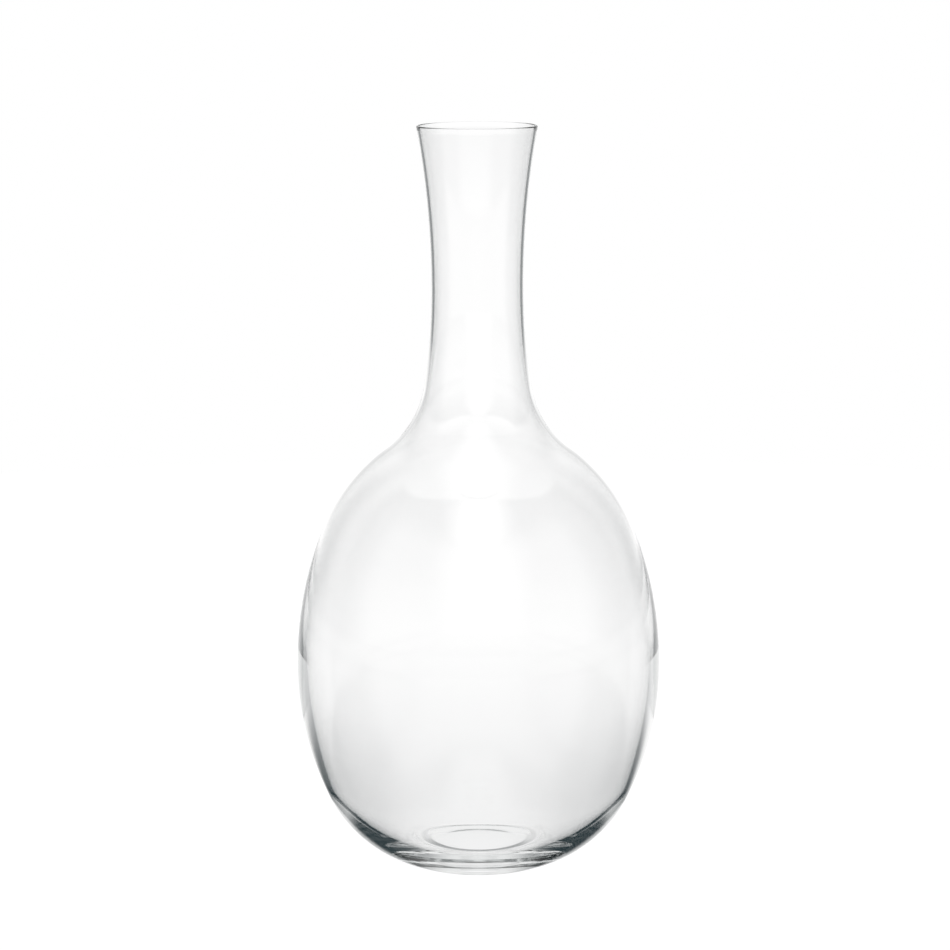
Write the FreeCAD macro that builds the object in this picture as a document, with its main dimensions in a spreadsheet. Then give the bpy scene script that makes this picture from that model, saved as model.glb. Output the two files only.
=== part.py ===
import FreeCAD
import Part
import Sketcher
import math
import os

# Balloon decanter, free blown in clear glass as one piece.
# Millimetres and degrees. The axis of the vessel is Z and it stands on z = 0.
# The wall is one section, turned about the axis. Each side of it is a chain of tangent arcs, upright
# at the waist and at the belly. How far an arc turns, or its bend, is a driving size, and the bends
# of the crown, shoulder, side and heel follow from the rings that they join.

DRIVING_SIZES = [
    ("total_height", 300.0, "foot to lip"),
    ("mouth_radius", 24.1, "outside of the lip"),
    ("waist_radius", 18.5, "outside of the neck where it is narrowest"),
    ("waist_height", 236.0, "height of the narrowest ring"),
    ("neck_bend", 262.0, "arc of the neck below the waist"),
    ("neck_angle", 8.9, "how far the neck's arc turns"),
    ("collar_bend", 39.5, "hollow arc where the neck opens into the shoulder"),
    ("shoulder_angle", 33.5, "how far the shoulder's arc turns"),
    ("crown_angle", 20.7, "how far the belly's arc turns above its widest ring"),
    ("belly_radius", 73.5, "outside of the belly at its widest"),
    ("belly_height", 82.2, "height of the widest ring"),
    ("side_angle", 25.6, "how far the belly's arc turns below its widest ring"),
    ("foot_angle", 13.2, "rise of the heel from the table"),
    ("foot_radius", 25.4, "outer edge of the ring that it stands on"),
    ("mouth_wall", 1.1, "wall at the lip"),
    ("waist_wall", 1.35, "wall at the waist"),
    ("collar_wall", 1.7, "wall where the neck opens"),
    ("belly_wall", 2.8, "wall at the belly"),
    ("hollow_share", 0.05, "rise of the hollow's widest ring, as a share of the way up to the waist"),
    ("base_wall", 7.3, "glass under the edge of the floor"),
    ("bowl_angle", 20.4, "how far the hollow's side turns before its bowl"),
    ("floor_angle", 13.4, "rise of the bowl from the floor"),
    ("floor_radius", 29.0, "edge of the floor inside"),
    ("floor_rise", 1.6, "how far the middle of the floor is pushed up"),
    ("kick_radius", 21.8, "edge of the hollow under the base"),
    ("kick_depth", 3.2, "depth of the hollow under the base"),
    ("foot_round", 6.0, "softening of the foot ring's outer edge"),
    ("kick_round", 4.0, "softening of the foot ring's inner edge"),
]

# Names that the sketcher gives to the origin, the axes and the points of an arc or a line.
ORIGIN_POINT = (-1, 1)
UPRIGHT_AXIS, LEVEL_AXIS = range(-2, 0)
START, END, CENTRE = range(1, 4)

SAME_PLACE = 1e-4

doc = FreeCAD.newDocument("balloon_decanter")


def make_sheet():
    sheet = doc.addObject("Spreadsheet::Sheet", "sizes")
    for row, (alias, value, meaning) in enumerate(DRIVING_SIZES, start=1):
        sheet.set(f"A{row}", alias)
        sheet.set(f"B{row}", str(value))
        sheet.set(f"C{row}", meaning)
        sheet.setAlias(f"B{row}", alias)
    doc.recompute()
    return sheet


sizes = make_sheet()


def value_of(expression):
    found = sizes.evalExpression(expression)
    return float(getattr(found, "Value", found))


def at(ring):
    """The sketch point of a ring of the vessel, given as radius and height."""
    return FreeCAD.Vector(value_of(ring[0]), value_of(ring[1]), 0)


RIM_HEIGHT = "sizes.total_height - sizes.mouth_wall / 2"

# The outside, from the lip to the foot.
OUTSIDE = {
    "mouth": ("sizes.mouth_radius", RIM_HEIGHT),
    "waist": ("sizes.waist_radius", "sizes.waist_height"),
    "neck_bend": "sizes.neck_bend",
    "collar_bend": "sizes.collar_bend",
    "belly": ("sizes.belly_radius", "sizes.belly_height"),
    "side_angle": "sizes.side_angle",
    "end_angle": "sizes.foot_angle",
    "end": ("sizes.foot_radius", "0"),
}

# The hollow, from the lip to the edge of the floor, a wall further in.
INSIDE = {
    "mouth": ("sizes.mouth_radius - sizes.mouth_wall", RIM_HEIGHT),
    "waist": ("sizes.waist_radius - sizes.waist_wall", "sizes.waist_height"),
    "neck_bend": "sizes.neck_bend + sizes.waist_wall",
    "collar_bend": "sizes.collar_bend + sizes.collar_wall",
    "belly": (
        "sizes.belly_radius - sizes.belly_wall",
        "sizes.belly_height + sizes.hollow_share * (sizes.waist_height - sizes.belly_height)",
    ),
    "side_angle": "sizes.bowl_angle",
    "end_angle": "sizes.floor_angle",
    "end": ("sizes.floor_radius", "sizes.base_wall"),
}

FLOOR_MIDDLE = ("0", "sizes.base_wall + sizes.floor_rise")
AXIS_FOOT = ("0", "0")
KICK_EDGE = ("sizes.kick_radius", "0")
KICK_MIDDLE = ("0", "sizes.kick_depth")


def hold_distance(sketch, geometry, position, expression, kind, axis):
    """Ties one point's distance from an axis to an expression, or puts the point on the axis."""
    if expression == "0":
        sketch.addConstraint(Sketcher.Constraint("PointOnObject", geometry, position, axis))
        return
    rule = Sketcher.Constraint(kind, *ORIGIN_POINT, geometry, position, value_of(expression))
    number = sketch.addConstraint(rule)
    sketch.setExpression(f"Constraints[{number}]", expression)


def hold_height(sketch, geometry, position, expression):
    hold_distance(sketch, geometry, position, expression, "DistanceY", LEVEL_AXIS)


def hold_point(sketch, geometry, position, ring):
    hold_distance(sketch, geometry, position, ring[0], "DistanceX", UPRIGHT_AXIS)
    hold_height(sketch, geometry, position, ring[1])


def hold_radius(sketch, geometry, expression):
    number = sketch.addConstraint(Sketcher.Constraint("Radius", geometry, value_of(expression)))
    sketch.setExpression(f"Constraints[{number}]", expression)


def hold_turn(sketch, geometry, expression):
    """Ties how far an arc turns to an expression in degrees."""
    turn = math.radians(value_of(expression))
    number = sketch.addConstraint(Sketcher.Constraint("Angle", geometry, turn))
    sketch.setExpression(f"Constraints[{number}]", f"({expression}) * 1 deg")


def join(sketch, kind, one, two):
    """Coincident or Tangent, from the last point of one edge to the first point of the next."""
    rule = Sketcher.Constraint(kind, one["geometry"], one["last"], two["geometry"], two["first"])
    sketch.addConstraint(rule)


def add_line(sketch, first, last):
    geometry = sketch.addGeometry(Part.LineSegment(at(first), at(last)), False)
    return {"geometry": geometry, "first": START, "last": END}


def add_arc(sketch, centre, first, last):
    """The shorter arc between two points. Arcs run anticlockwise, so either point may be its start."""
    from_angle = math.atan2(first.y - centre.y, first.x - centre.x)
    to_angle = math.atan2(last.y - centre.y, last.x - centre.x)
    anticlockwise = (to_angle - from_angle) % (2 * math.pi) < math.pi
    if not anticlockwise:
        from_angle, to_angle = to_angle, from_angle
    circle = Part.Circle(centre, FreeCAD.Vector(0, 0, 1), (first - centre).Length)
    geometry = sketch.addGeometry(Part.ArcOfCircle(circle, from_angle, to_angle), False)
    ends = (START, END) if anticlockwise else (END, START)
    return {"geometry": geometry, "first": ends[0], "last": ends[1]}


def lean(angle):
    """Unit vector across a curve that leans from upright by an angle: level, and falling as it leans."""
    return FreeCAD.Vector(math.cos(math.radians(angle)), math.sin(math.radians(angle)), 0)


def two_bends(gap, turn_one, turn_two):
    """Radii of two tangent arcs that span a gap, from what each covers for a radius of one."""
    both = turn_one.x * turn_two.y - turn_one.y * turn_two.x
    bend_one = (gap.x * turn_two.y - gap.y * turn_two.x) / both
    bend_two = (turn_one.x * gap.y - turn_one.y * gap.x) / both
    return bend_one, bend_two


def centre_through(tangent_point, inward, other):
    """Centre of the circle that leaves tangent_point square to inward and passes through other."""
    chord = other - tangent_point
    return tangent_point + inward * (chord.Length ** 2 / (2 * chord.dot(inward)))


def add_side(sketch, side):
    """One side of the wall as tangent arcs: flare, neck, collar, shoulder, crown, flank and heel."""
    mouth, waist, belly, end = (at(side[ring]) for ring in ("mouth", "waist", "belly", "end"))
    neck_bend, collar_bend = value_of(side["neck_bend"]), value_of(side["collar_bend"])
    level, steepest = lean(0), lean(value_of("sizes.crown_angle + sizes.shoulder_angle"))
    at_neck, at_crown = lean(value_of("sizes.neck_angle")), lean(value_of("sizes.crown_angle"))
    at_side, at_end = lean(-value_of(side["side_angle"])), lean(value_of(side["end_angle"]) - 90)

    # From the waist down, then from the belly up: the crown and shoulder close the gap between.
    flare_centre = centre_through(waist, level, mouth)
    neck_centre = waist + level * neck_bend
    neck_end = neck_centre - at_neck * neck_bend
    collar_centre = neck_end + at_neck * collar_bend
    shoulder_end = collar_centre - steepest * collar_bend
    crown_bend, shoulder_bend = two_bends(shoulder_end - belly, at_crown - level, steepest - at_crown)
    crown_centre = belly - level * crown_bend
    crown_end = crown_centre + at_crown * crown_bend
    shoulder_centre = crown_end - at_crown * shoulder_bend

    # From the belly down to the end.
    flank_bend, heel_bend = two_bends(end - belly, at_side - level, at_end - at_side)
    flank_centre = belly - level * flank_bend
    flank_end = flank_centre + at_side * flank_bend
    heel_centre = flank_end - at_side * heel_bend

    arcs = [
        add_arc(sketch, flare_centre, mouth, waist),
        add_arc(sketch, neck_centre, waist, neck_end),
        add_arc(sketch, collar_centre, neck_end, shoulder_end),
        add_arc(sketch, shoulder_centre, shoulder_end, crown_end),
        add_arc(sketch, crown_centre, crown_end, belly),
        add_arc(sketch, flank_centre, belly, flank_end),
        add_arc(sketch, heel_centre, flank_end, end),
    ]
    for one, two in zip(arcs, arcs[1:]):
        join(sketch, "Tangent", one, two)
    flare, neck, collar, shoulder, crown, flank, heel = arcs
    hold_point(sketch, flare["geometry"], flare["first"], side["mouth"])
    hold_point(sketch, neck["geometry"], neck["first"], side["waist"])
    hold_height(sketch, neck["geometry"], CENTRE, side["waist"][1])
    hold_radius(sketch, neck["geometry"], side["neck_bend"])
    hold_turn(sketch, neck["geometry"], "sizes.neck_angle")
    hold_radius(sketch, collar["geometry"], side["collar_bend"])
    hold_turn(sketch, shoulder["geometry"], "sizes.shoulder_angle")
    hold_turn(sketch, crown["geometry"], "sizes.crown_angle")
    hold_point(sketch, flank["geometry"], flank["first"], side["belly"])
    hold_height(sketch, flank["geometry"], CENTRE, side["belly"][1])
    hold_turn(sketch, flank["geometry"], side["side_angle"])
    hold_turn(sketch, heel["geometry"], f"90 - {side['end_angle']} - {side['side_angle']}")
    hold_point(sketch, heel["geometry"], heel["last"], side["end"])
    return arcs


def add_dome(sketch, edge, middle):
    """An arc from its edge up to the axis, centred on the axis."""
    low, top = at(edge), at(middle)
    dome = add_arc(sketch, centre_through(top, FreeCAD.Vector(0, -1, 0), low), low, top)
    sketch.addConstraint(Sketcher.Constraint("PointOnObject", dome["geometry"], CENTRE, UPRIGHT_AXIS))
    hold_point(sketch, dome["geometry"], dome["last"], middle)
    return dome


def turned_about(edge):
    """The same edge of a sketch, followed the other way."""
    return {"geometry": edge["geometry"], "first": edge["last"], "last": edge["first"]}


def new_sketch(body, name):
    sketch = body.newObject("Sketcher::SketchObject", name)
    plane = [feature for feature in body.Origin.OriginFeatures if feature.Role == "XZ_Plane"][0]
    sketch.AttachmentSupport = [(plane, "")]
    sketch.MapMode = "FlatFace"
    return sketch


def draw_wall(body):
    """The closed half section of the vessel: outside, base, floor, hollow and rounded lip."""
    sketch = new_sketch(body, "wall_section")
    outside = add_side(sketch, OUTSIDE)
    base = add_line(sketch, OUTSIDE["end"], AXIS_FOOT)
    axis = add_line(sketch, AXIS_FOOT, FLOOR_MIDDLE)
    floor = turned_about(add_dome(sketch, INSIDE["end"], FLOOR_MIDDLE))
    inside = [turned_about(arc) for arc in reversed(add_side(sketch, INSIDE))]
    lip_centre = (at(OUTSIDE["mouth"]) + at(INSIDE["mouth"])) * 0.5
    lip_top = FreeCAD.Vector(lip_centre.x, value_of("sizes.total_height"), 0)
    half_circle = Part.Arc(at(OUTSIDE["mouth"]), lip_top, at(INSIDE["mouth"]))
    lip = {"geometry": sketch.addGeometry(half_circle, False), "first": END, "last": START}
    hold_height(sketch, lip["geometry"], CENTRE, RIM_HEIGHT)

    join(sketch, "Coincident", outside[-1], base)
    join(sketch, "Coincident", base, axis)
    join(sketch, "Coincident", axis, floor)
    join(sketch, "Coincident", floor, inside[0])
    join(sketch, "Coincident", inside[-1], lip)
    join(sketch, "Coincident", lip, outside[0])
    hold_point(sketch, base["geometry"], base["last"], AXIS_FOOT)
    return sketch


def draw_kick(body):
    """The half section of the hollow that is pressed up under the base."""
    sketch = new_sketch(body, "kick_section")
    base = add_line(sketch, AXIS_FOOT, KICK_EDGE)
    dome = add_dome(sketch, KICK_EDGE, KICK_MIDDLE)
    axis = add_line(sketch, KICK_MIDDLE, AXIS_FOOT)
    join(sketch, "Coincident", base, dome)
    join(sketch, "Coincident", dome, axis)
    join(sketch, "Coincident", axis, base)
    hold_point(sketch, base["geometry"], base["first"], AXIS_FOOT)
    hold_point(sketch, base["geometry"], base["last"], KICK_EDGE)
    return sketch


def turn_section(body, kind, name, sketch):
    """A full turn of a half section about the vessel's axis, added or cut."""
    doc.recompute()
    if not sketch.FullyConstrained:
        raise RuntimeError(f"{sketch.Name} is not fully constrained")
    feature = body.newObject(kind, name)
    feature.Profile = sketch
    feature.ReferenceAxis = (sketch, ["V_Axis"])
    feature.Angle = 360
    sketch.Visibility = False
    doc.recompute()
    return feature


def soften_ring(body, name, base, ring, radius):
    """A fillet on the round edge of the base feature at a radius and height."""
    wanted = at(ring)
    edges = []
    for number, edge in enumerate(base.Shape.Edges, start=1):
        if edge.Degenerated or not isinstance(edge.Curve, Part.Circle):
            continue
        right_radius = abs(edge.Curve.Radius - wanted.x) < SAME_PLACE
        right_height = abs(edge.Curve.Center.z - wanted.y) < SAME_PLACE
        if right_radius and right_height:
            edges.append(f"Edge{number}")
    fillet = body.newObject("PartDesign::Fillet", name)
    fillet.Base = (base, edges)
    fillet.setExpression("Radius", radius)
    doc.recompute()
    return fillet


def make_decanter():
    body = doc.addObject("PartDesign::Body", "decanter")
    body.Label = "decanter"
    vessel = turn_section(body, "PartDesign::Revolution", "vessel", draw_wall(body))
    kick = turn_section(body, "PartDesign::Groove", "kick", draw_kick(body))
    if not kick.Shape.Volume < vessel.Shape.Volume:
        raise RuntimeError("the kick cut nothing")
    foot = soften_ring(body, "foot_edge", kick, OUTSIDE["end"], "sizes.foot_round")
    soften_ring(body, "kick_edge", foot, KICK_EDGE, "sizes.kick_round")


def check_and_write():
    doc.recompute()
    for thing in doc.Objects:
        if "Invalid" in thing.State or "Error" in thing.State:
            raise RuntimeError(f"{thing.Name} failed: {thing.State}")
    bodies = [thing for thing in doc.Objects if thing.TypeId == "PartDesign::Body"]
    for body in bodies:
        if body.Shape.isNull() or not body.Shape.isValid() or len(body.Shape.Solids) != 1:
            raise RuntimeError(f"{body.Label} has no single valid solid")
    os.makedirs("parts", exist_ok=True)
    for body in bodies:
        body.Shape.exportStep(f"parts/{body.Label}.step")
        box = body.Shape.optimalBoundingBox()
        print(f"{body.Label}: {body.Shape.Volume / 1000:.1f} cm3,"
              f" {box.XLength:.2f} x {box.YLength:.2f} x {box.ZLength:.2f} mm")


make_decanter()
check_and_write()
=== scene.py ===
import math
import bpy
import numpy as np
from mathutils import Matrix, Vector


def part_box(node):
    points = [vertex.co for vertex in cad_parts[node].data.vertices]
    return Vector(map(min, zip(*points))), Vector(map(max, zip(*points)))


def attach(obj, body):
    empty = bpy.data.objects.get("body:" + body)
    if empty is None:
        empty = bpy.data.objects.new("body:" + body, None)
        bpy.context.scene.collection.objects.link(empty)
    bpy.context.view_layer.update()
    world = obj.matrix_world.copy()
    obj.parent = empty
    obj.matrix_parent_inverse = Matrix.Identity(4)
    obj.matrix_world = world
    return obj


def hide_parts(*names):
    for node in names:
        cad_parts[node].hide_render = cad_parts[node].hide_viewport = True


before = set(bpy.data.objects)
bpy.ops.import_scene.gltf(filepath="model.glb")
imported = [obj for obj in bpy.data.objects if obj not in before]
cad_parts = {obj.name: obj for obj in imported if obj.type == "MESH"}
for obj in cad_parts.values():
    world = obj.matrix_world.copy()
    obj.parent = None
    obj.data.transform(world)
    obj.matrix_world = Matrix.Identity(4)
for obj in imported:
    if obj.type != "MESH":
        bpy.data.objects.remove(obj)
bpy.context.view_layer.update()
low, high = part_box("decanter")
scene = bpy.context.scene
scene.view_settings.view_transform = "Standard"
bounces = 96  # light that runs round inside the wall is turned back 60 to 80 times before it leaves
scene.cycles.max_bounces = bounces
scene.cycles.glossy_bounces = bounces
scene.cycles.transmission_bounces = bounces
mm = 0.001


def linear(hexColour):
    # sRGB hex to linear light: the standard curve, on each channel
    channels = [int(hexColour[i:i + 2], 16) / 255 for i in (1, 3, 5)]
    return [c / 12.92 if c <= 0.04045 else ((c + 0.055) / 1.055) ** 2.4 for c in channels] + [1.0]


def addNode(tree, kind, settings=None, values=None, links=None):
    # one node: its settings, its socket values and what feeds its sockets, a socket or a node's first output
    node = tree.nodes.new(kind)
    for name, value in (settings or {}).items():
        setattr(node, name, value)
    for name, value in (values or {}).items():
        node.inputs[name].default_value = value
    for name, source in (links or {}).items():
        output = source.outputs[0] if isinstance(source, bpy.types.Node) else source
        tree.links.new(output, node.inputs[name])
    return node


# the vessel: millimetres and degrees, the same rings, bends and turns as the solid's
vessel = {
    "mouthRadius": 24.1, "waistRadius": 18.5, "waistHeight": 236.0,
    "neckBend": 262.0, "neckAngle": 8.9, "collarBend": 39.5, "shoulderAngle": 33.5, "crownAngle": 20.7,
    "bellyHeight": 82.2, "sideAngle": 25.6, "footAngle": 13.2, "footRadius": 25.4,
    "mouthWall": 1.1, "waistWall": 1.35, "collarWall": 1.7, "bellyWall": 2.8, "baseWall": 7.3,
    "hollowShare": 0.05, "bowlAngle": 20.4, "floorAngle": 13.4, "floorRadius": 29.0, "floorRise": 1.6,
    "kickRadius": 21.8, "kickDepth": 3.2, "footRound": 6.0, "kickRound": 4.0,
    "turns": 256, "arcStep": 2.2, "lipStep": 0.2, "roundStep": 0.12, "ringPoints": 12,
}


def lean(degrees):
    # unit vector across a curve that leans from upright by an angle
    return np.array([math.cos(math.radians(degrees)), math.sin(math.radians(degrees))])


def arcBetween(centre, first, last, step):
    # points of the shorter arc from first to last: its radius carried round the centre in equal turns
    fewest = 8
    start = math.atan2(*(first - centre)[::-1])
    turn = (math.atan2(*(last - centre)[::-1]) - start + math.pi) % (2 * math.pi) - math.pi
    radius = math.hypot(*(first - centre))
    angle = start + turn * np.linspace(0, 1, max(fewest, round(abs(turn) * radius / step)) + 1)
    return centre + radius * np.column_stack([np.cos(angle), np.sin(angle)])


def centreThrough(point, inward, other):
    # centre of the circle that leaves point square to inward and passes through other
    chord = other - point
    return point + inward * (chord @ chord) / (2 * chord @ inward)


def wallSide(v, height, bellyRadius, inset, end, sideAngle, endAngle):
    # lip to foot, or lip to floor: seven tangent arcs, upright at the waist and at the belly
    # two arcs that close a gap have the bends b1, b2 that solve b1 * turn1 + b2 * turn2 = gap
    mouth = np.array([v["mouthRadius"] - inset * v["mouthWall"], height - v["mouthWall"] / 2])
    waist = np.array([v["waistRadius"] - inset * v["waistWall"], v["waistHeight"]])
    rise = v["hollowShare"] * (v["waistHeight"] - v["bellyHeight"])
    belly = np.array([bellyRadius - inset * v["bellyWall"], v["bellyHeight"] + inset * rise])
    neckBend = v["neckBend"] + inset * v["waistWall"]
    collarBend = v["collarBend"] + inset * v["collarWall"]
    level, atNeck, atCrown = lean(0), lean(v["neckAngle"]), lean(v["crownAngle"])
    steepest = lean(v["crownAngle"] + v["shoulderAngle"])
    atSide, atEnd = lean(-sideAngle), lean(endAngle - 90)
    neckCentre = waist + level * neckBend
    neckEnd = neckCentre - atNeck * neckBend
    collarCentre = neckEnd + atNeck * collarBend
    shoulderEnd = collarCentre - steepest * collarBend
    turns = np.column_stack([atCrown - level, steepest - atCrown])
    crownBend, shoulderBend = np.linalg.solve(turns, shoulderEnd - belly)
    crownCentre = belly - level * crownBend
    crownEnd = crownCentre + atCrown * crownBend
    turns = np.column_stack([atSide - level, atEnd - atSide])
    flankBend, heelBend = np.linalg.solve(turns, end - belly)
    flankCentre = belly - level * flankBend
    flankEnd = flankCentre + atSide * flankBend
    arcs = [
        (centreThrough(waist, level, mouth), mouth, waist),
        (neckCentre, waist, neckEnd),
        (collarCentre, neckEnd, shoulderEnd),
        (crownEnd - atCrown * shoulderBend, shoulderEnd, crownEnd),
        (crownCentre, crownEnd, belly),
        (flankCentre, belly, flankEnd),
        (flankEnd - atSide * heelBend, flankEnd, end),
    ]
    pieces = [arcBetween(*arc, v["arcStep"]) for arc in arcs]
    return np.vstack([pieces[0]] + [piece[1:] for piece in pieces[1:]])


def domeOver(edge, middle, step):
    # arc from its edge up to the axis, centred on the axis
    return arcBetween(centreThrough(middle, np.array([0.0, -1.0]), edge), edge, middle, step)


def rounded(before, after, radius, step):
    # the arc that touches two smooth curves where they meet: points beside the corner give way to it
    corner = before[-1]
    one = (before[-2] - corner) / np.linalg.norm(before[-2] - corner)
    two = (after[1] - corner) / np.linalg.norm(after[1] - corner)
    half = math.acos(float(one @ two)) / 2
    reach = radius / math.tan(half)
    bisector = (one + two) / np.linalg.norm(one + two)
    centre = corner + bisector * radius / math.sin(half)
    arc = arcBetween(centre, corner + one * reach, corner + two * reach, step)
    clear = 1.02 * reach  # a little past the arc's ends, so that no two points crowd there
    kept = before[np.linalg.norm(before - corner, axis=1) > clear]
    left = after[np.linalg.norm(after - corner, axis=1) > clear]
    return np.vstack([kept, arc, left])


def vesselProfile(v, height, bellyRadius):
    # kick, foot ring, outside, lip, hollow and floor, as one line from the axis round to the axis
    foot, floorEdge = np.array([v["footRadius"], 0.0]), np.array([v["floorRadius"], v["baseWall"]])
    outside = wallSide(v, height, bellyRadius, 0, foot, v["sideAngle"], v["footAngle"])[::-1]
    hollow = wallSide(v, height, bellyRadius, 1, floorEdge, v["bowlAngle"], v["floorAngle"])
    kick = domeOver(np.array([v["kickRadius"], 0.0]), np.array([0.0, v["kickDepth"]]), v["arcStep"])[::-1]
    floor = domeOver(floorEdge, np.array([0.0, v["baseWall"] + v["floorRise"]]), v["arcStep"])
    half = v["mouthWall"] / 2
    lipCentre = np.array([v["mouthRadius"] - half, height - half])
    lip = arcBetween(lipCentre, outside[-1], lipCentre + [0, half], v["lipStep"])
    lip = np.vstack([lip, arcBetween(lipCentre, lip[-1], hollow[0], v["lipStep"])[1:]])
    ring = np.linspace(kick[-1], foot, v["ringPoints"])
    base = rounded(kick, ring, v["kickRound"], v["roundStep"])
    base = rounded(base, outside, v["footRound"], v["roundStep"])
    return np.vstack([base, lip[1:-1], hollow, floor[1:]]) * mm


def turned(name, profile, turns):
    # the profile carried round Z, each point at its radius and height; each end is one vertex on the axis
    angle = np.arange(turns) * 2 * np.pi / turns
    ring = profile[1:-1]
    x = ring[:, 0][:, None] * np.cos(angle)
    y = ring[:, 0][:, None] * np.sin(angle)
    z = np.repeat(ring[:, 1][:, None], turns, axis=1)
    grid = np.stack([x, y, z], axis=-1).reshape(-1, 3)
    points = np.vstack([grid, [0, 0, profile[0, 1]], [0, 0, profile[-1, 1]]])
    one, two = np.arange(turns), (np.arange(turns) + 1) % turns
    start = np.arange(len(ring) - 1)[:, None] * turns
    here, there = start + one, start + two
    quads = np.stack([here, there, there + turns, here + turns], axis=-1).reshape(-1, 4)
    first, last, top = len(grid), len(grid) + 1, (len(ring) - 1) * turns
    under = np.stack([np.full(turns, first), two, one], axis=-1)
    over = np.stack([top + one, top + two, np.full(turns, last)], axis=-1)
    mesh = bpy.data.meshes.new(name)
    mesh.from_pydata(points.tolist(), [], quads.tolist() + under.tolist() + over.tolist())
    mesh.shade_smooth()
    piece = bpy.data.objects.new(name, mesh)
    scene.collection.objects.link(piece)
    return piece


height = high.z / mm
bellyRadius = (high.x - low.x) / 2 / mm
glassPiece = turned("decanter_glass", vesselProfile(vessel, height, bellyRadius), vessel["turns"])
print("vessel", len(glassPiece.data.vertices), "vertices")

glass = {"ior": 1.5, "tint": "#d9e6e2", "density": 0.6}


def glassMaterial(g):
    # soda-lime glass, blown and fire-polished: clear and unmarked, grey-green only where light goes far in it
    material = bpy.data.materials.new("blown_soda_lime_glass")
    material.use_nodes = True
    tree = material.node_tree
    tree.nodes.clear()
    shader = addNode(tree, "ShaderNodeBsdfPrincipled", values={
        "Base Color": (1, 1, 1, 1), "Roughness": 0.0, "IOR": g["ior"], "Transmission Weight": 1.0})
    body = addNode(tree, "ShaderNodeVolumeAbsorption",
                   values={"Color": linear(g["tint"]), "Density": g["density"]})
    addNode(tree, "ShaderNodeOutputMaterial", links={"Surface": shader, "Volume": body})
    return material


glassPiece.data.materials.append(glassMaterial(glass))
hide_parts("decanter")
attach(glassPiece, "root")
print("glass")

# camera, at the photograph's angle: millimetres, degrees and the photograph's pixels
view = {
    "distance": 1300.0, "height": 381.8, "aimHeight": 159.5, "aimSide": -0.55, "roll": 0.16,
    "focalPixels": 3271.0, "framePixels": 950, "sensor": 36.0,
}
camera = bpy.data.objects.new("camera", bpy.data.cameras.new("camera"))
scene.collection.objects.link(camera)
camera.data.sensor_width = view["sensor"]
camera.data.lens = view["sensor"] * view["focalPixels"] / view["framePixels"]
pitch = math.atan2(view["height"] - view["aimHeight"], view["distance"])
camera.location = (view["aimSide"] * mm, -view["distance"] * mm, view["height"] * mm)
camera.rotation_euler = (math.pi / 2 - pitch, math.radians(view["roll"]), 0)
scene.camera = camera

# studio, in degrees from straight behind the decanter: bright white paper behind it, wider above the
# table's far edge, a strip of light overhead from back to front, a dimmer front, and black cards at the
# sides, just off the picture, with some light below them
studio = {
    "paperEdge": 11.0, "paperFade": 12.0, "paperLight": 1.06,
    "topEdge": -7.0, "topFade": 11.0, "topLight": 0.76,
    "spread": 0.46, "spreadEdge": -8.0, "spreadFade": 4.5,
    "frontEdge": 84.0, "frontFade": 26.0, "frontLight": 0.6, "frontTop": 34.0, "frontTopFade": 20.0,
    "stripStart": 26.0, "stripStartFade": 24.0, "stripHalf": 8.0, "stripFade": 18.0, "stripLight": 0.8,
    "belowLight": 0.25, "belowEdge": -4.0, "belowFade": 4.0, "roomLight": 0.08, "roomTint": "#8fb4bf",
    "behindEdge": -6.0, "behindFade": 3.0, "behindTop": 0.96,
}


def softEdges(tree, edges, light=None):
    # the light times a number for each edge: one before the edge, another past it and a smooth step between
    for value, edge, width, before, after in edges:
        step = addNode(tree, "ShaderNodeMapRange", {"interpolation_type": "SMOOTHSTEP"},
                       {"From Min": edge, "From Max": edge + width, "To Min": before, "To Max": after},
                       {"Value": value})
        if light is None:
            light = step
        else:
            light = addNode(tree, "ShaderNodeMath", {"operation": "MULTIPLY"}, links={0: light, 1: step})
    return light


def brightest(tree, light, *others):
    for other in others:
        light = addNode(tree, "ShaderNodeMath", {"operation": "MAXIMUM"}, links={0: light, 1: other})
    return light


def degreesAside(tree, split, turn):
    # how far a direction is from straight behind, to either side: the arctangent of x over y, less the turn
    angle = addNode(tree, "ShaderNodeMath", {"operation": "ARCTAN2"},
                    links={0: split.outputs["X"], 1: split.outputs["Y"]})
    angle = addNode(tree, "ShaderNodeMath", {"operation": "DEGREES"}, links={0: angle})
    angle = addNode(tree, "ShaderNodeMath", {"operation": "SUBTRACT"}, {1: turn}, {0: angle})
    return addNode(tree, "ShaderNodeMath", {"operation": "ABSOLUTE"}, links={0: angle})


def degreesOff(tree, part):
    # how far a direction is off the plane square to an axis: the arcsine of its part along that axis
    angle = addNode(tree, "ShaderNodeMath", {"operation": "ARCSINE"}, links={0: part})
    return addNode(tree, "ShaderNodeMath", {"operation": "DEGREES"}, links={0: angle})


def millimetresFrom(tree, place, centre):
    # how far a place on the table is from a centre
    far = addNode(tree, "ShaderNodeVectorMath", {"operation": "DISTANCE"}, {1: [c * mm for c in centre]},
                  {0: place})
    return addNode(tree, "ShaderNodeMath", {"operation": "DIVIDE"}, {1: mm}, {0: far.outputs["Value"]})


def seenThrough(tree, path, behind, light):
    # straight through the glass the white paper shows from every side; the cards are only in reflections
    direct = addNode(tree, "ShaderNodeMath", {"operation": "LESS_THAN"}, {1: 0.5},
                     {0: path.outputs["Glossy Depth"]})
    straight = addNode(tree, "ShaderNodeMath", {"operation": "MULTIPLY"},
                       links={0: path.outputs["Is Transmission Ray"], 1: direct})
    return addNode(tree, "ShaderNodeMix", links={0: straight, 2: light, 3: behind})


def litRoom(tree, light, s):
    # from the dark of the room to white
    dark = [c * s["roomLight"] for c in linear(s["roomTint"])[:3]] + [1.0]
    room = addNode(tree, "ShaderNodeMix", {"data_type": "RGBA", "clamp_factor": False},
                   {6: dark, 7: (1, 1, 1, 1)}, {0: light})
    return room.outputs[2]


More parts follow.
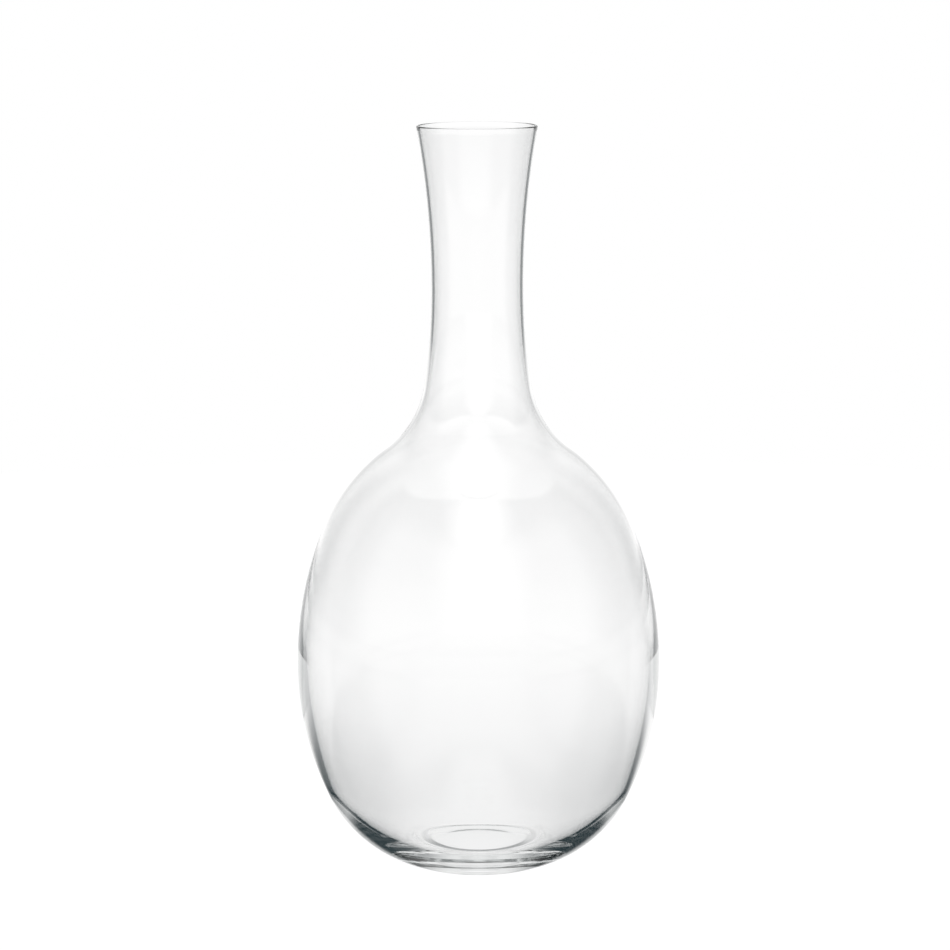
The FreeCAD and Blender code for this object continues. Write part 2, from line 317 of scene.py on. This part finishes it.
def buildStudio(s):
    world = bpy.data.worlds.new("studio")
    scene.world = world
    world.use_nodes = True
    tree = world.node_tree
    tree.nodes.clear()
    coord = addNode(tree, "ShaderNodeTexCoord")
    split = addNode(tree, "ShaderNodeSeparateXYZ", links={"Vector": coord.outputs["Generated"]})
    aside = degreesAside(tree, split, 0.0)
    rise = degreesOff(tree, split.outputs["Z"])
    acrossPart = addNode(tree, "ShaderNodeMath", {"operation": "ABSOLUTE"}, links={0: split.outputs["X"]})
    across = degreesOff(tree, acrossPart)
    wider = softEdges(tree, [(rise, s["spreadEdge"], s["spreadFade"], 1.0, s["spread"])], aside)
    paper = softEdges(tree, [
        (wider, s["paperEdge"], s["paperFade"], 1.0, 0.0),
        (rise, s["topEdge"], s["topFade"], s["paperLight"], s["topLight"]),
    ])
    front = softEdges(tree, [
        (aside, s["frontEdge"], s["frontFade"], 0.0, s["frontLight"]),
        (rise, s["frontTop"], s["frontTopFade"], 1.0, 0.0),
    ])
    strip = softEdges(tree, [
        (rise, s["stripStart"], s["stripStartFade"], 0.0, s["stripLight"]),
        (across, s["stripHalf"], s["stripFade"], 1.0, 0.0),
    ])
    below = softEdges(tree, [(rise, s["belowEdge"], s["belowFade"], s["belowLight"], 0.0)])
    behind = softEdges(tree, [(rise, s["behindEdge"], s["behindFade"], s["paperLight"], s["behindTop"])])
    path = addNode(tree, "ShaderNodeLightPath")
    light = seenThrough(tree, path, behind, brightest(tree, paper, below, front, strip))
    seen = addNode(tree, "ShaderNodeMix", {"data_type": "RGBA"}, {7: (1, 1, 1, 1)},
                   {0: path.outputs["Is Camera Ray"], 6: litRoom(tree, light, s)})
    background = addNode(tree, "ShaderNodeBackground", links={"Color": seen.outputs[2]})
    addNode(tree, "ShaderNodeOutputWorld", links={"Surface": background})


# table, in millimetres and degrees: a round white top, just clear of the foot. To the glass it glows with
# painted
# light and shade: painted shade of the cards at its sides, black close to the glass and dim farther out,
# painted light white round the back of the base, where the glass gathers light, and a thin painted shadow
# where the foot rests, deepest in front
table = {
    "radius": 1000.0, "drop": 0.3, "turns": 128, "colour": "#f2f2f2", "ownLight": 1.16, "shadowShare": 0.15,
    "nearLight": 0.9, "nearEdge": 60.0, "nearFade": 340.0, "turn": 4.0, "paperEdge": 34.0, "paperFade": 24.0,
    "frontEdge": 120.0, "frontFade": 40.0, "frontLight": 0.9,
    "dimStart": 105.0, "dimRise": 170.0, "dimEnd": 550.0, "dimFall": 450.0, "dimLight": 0.65,
    # painted light where the glass gathers it: a bright disc set back behind the base
    "paintedCausticShift": 50.0, "paintedCausticRadius": 71.0, "paintedCausticFade": 9.0, "paintedCausticLight": 0.9,
    # painted shadow: a thin dark ring where the foot rests, deeper in front
    "paintedShadowStart": 19.6, "paintedShadowEnd": 23.2, "paintedShadowFade": 1.2, "paintedShadowTurn": 95.0, "paintedShadowTurnFade": 40.0,
    "paintedShadowBehind": 0.2, "paintedShadowFront": 0.85,
}


def paintedTableLight(tree, path, t, s):
    # what the table sends into the glass, all painted light and shade: the brightest of its four painted
    # lights, less the painted shadow under the foot
    place = addNode(tree, "ShaderNodeTexCoord").outputs["Object"]
    split = addNode(tree, "ShaderNodeSeparateXYZ", links={"Vector": place})
    aside = degreesAside(tree, split, t["turn"])
    reach = millimetresFrom(tree, place, (0, 0, 0))
    causticReach = millimetresFrom(tree, place, (0, t["paintedCausticShift"], 0))
    # painted shade close to the glass, lighter farther out
    behind = softEdges(tree, [(reach, t["nearEdge"], t["nearFade"], t["nearLight"], s["paperLight"])])
    # painted shade of the cards: the table goes dark to its sides
    paper = softEdges(tree, [(aside, t["paperEdge"], t["paperFade"], 1.0, 0.0)], behind)
    # painted light on the table in front
    front = softEdges(tree, [(aside, t["frontEdge"], t["frontFade"], 0.0, t["frontLight"])])
    # a painted ring of dim light at the sides, fading again far out
    dim = softEdges(tree, [
        (reach, t["dimStart"], t["dimRise"], 0.0, 1.0),
        (reach, t["dimEnd"], t["dimFall"], t["dimLight"], s["belowLight"]),
    ])
    # painted light where the glass gathers it: a bright disc centred behind the base
    under = softEdges(tree, [(causticReach, t["paintedCausticRadius"], t["paintedCausticFade"], t["paintedCausticLight"], 0.0)])
    light = seenThrough(tree, path, behind, brightest(tree, paper, front, dim, under))
    # painted shadow: a thin dark ring on the table where the foot rests, deeper in front than behind
    paintedFootShadow = softEdges(tree, [
        (reach, t["paintedShadowStart"], t["paintedShadowFade"], 0.0, 1.0),
        (reach, t["paintedShadowEnd"], t["paintedShadowFade"], 1.0, 0.0),
        (aside, t["paintedShadowTurn"], t["paintedShadowTurnFade"], t["paintedShadowBehind"], t["paintedShadowFront"]),
    ])
    shade = addNode(tree, "ShaderNodeMath", {"operation": "MULTIPLY"}, links={0: light, 1: paintedFootShadow})
    return addNode(tree, "ShaderNodeMath", {"operation": "SUBTRACT"}, links={0: light, 1: shade})


def tableMaterial(t, s):
    # matt white paper: to the camera bright all over, with only a breath of shadow
    material = bpy.data.materials.new("white_paper_table")
    material.use_nodes = True
    tree = material.node_tree
    tree.nodes.clear()
    path = addNode(tree, "ShaderNodeLightPath")
    seen = addNode(tree, "ShaderNodeMath", {"operation": "MULTIPLY"}, {1: 1.0 - t["shadowShare"]},
                   {0: path.outputs["Is Camera Ray"]})
    paper = addNode(tree, "ShaderNodeBsdfDiffuse", values={"Color": linear(t["colour"])})
    glow = addNode(tree, "ShaderNodeEmission", values={"Color": (1, 1, 1, 1), "Strength": t["ownLight"]})
    forCamera = addNode(tree, "ShaderNodeMixShader", links={0: seen, 1: paper, 2: glow})
    # to glass rays the table is not lit but glows with its painted light and shade
    paintedGlassGlow = addNode(tree, "ShaderNodeEmission",
                       links={"Color": litRoom(tree, paintedTableLight(tree, path, t, s), s)})
    mirrored = brightest(tree, path.outputs["Is Glossy Ray"], path.outputs["Is Transmission Ray"])
    both = addNode(tree, "ShaderNodeMixShader", links={0: mirrored, 1: forCamera, 2: paintedGlassGlow})
    addNode(tree, "ShaderNodeOutputMaterial", links={"Surface": both})
    return material


def buildTable(t, s):
    # a disc: equal turns at one radius, closed as one face
    angle = np.arange(t["turns"]) * 2 * np.pi / t["turns"]
    rim = np.column_stack([np.cos(angle), np.sin(angle), np.zeros(t["turns"])]) * t["radius"] * mm
    rim[:, 2] = -t["drop"] * mm
    mesh = bpy.data.meshes.new("table")
    mesh.from_pydata(rim.tolist(), [], [list(range(t["turns"]))])
    mesh.materials.append(tableMaterial(t, s))
    top = bpy.data.objects.new("table", mesh)
    scene.collection.objects.link(top)


buildTable(table, studio)
print("table")
buildStudio(studio)
print("studio")
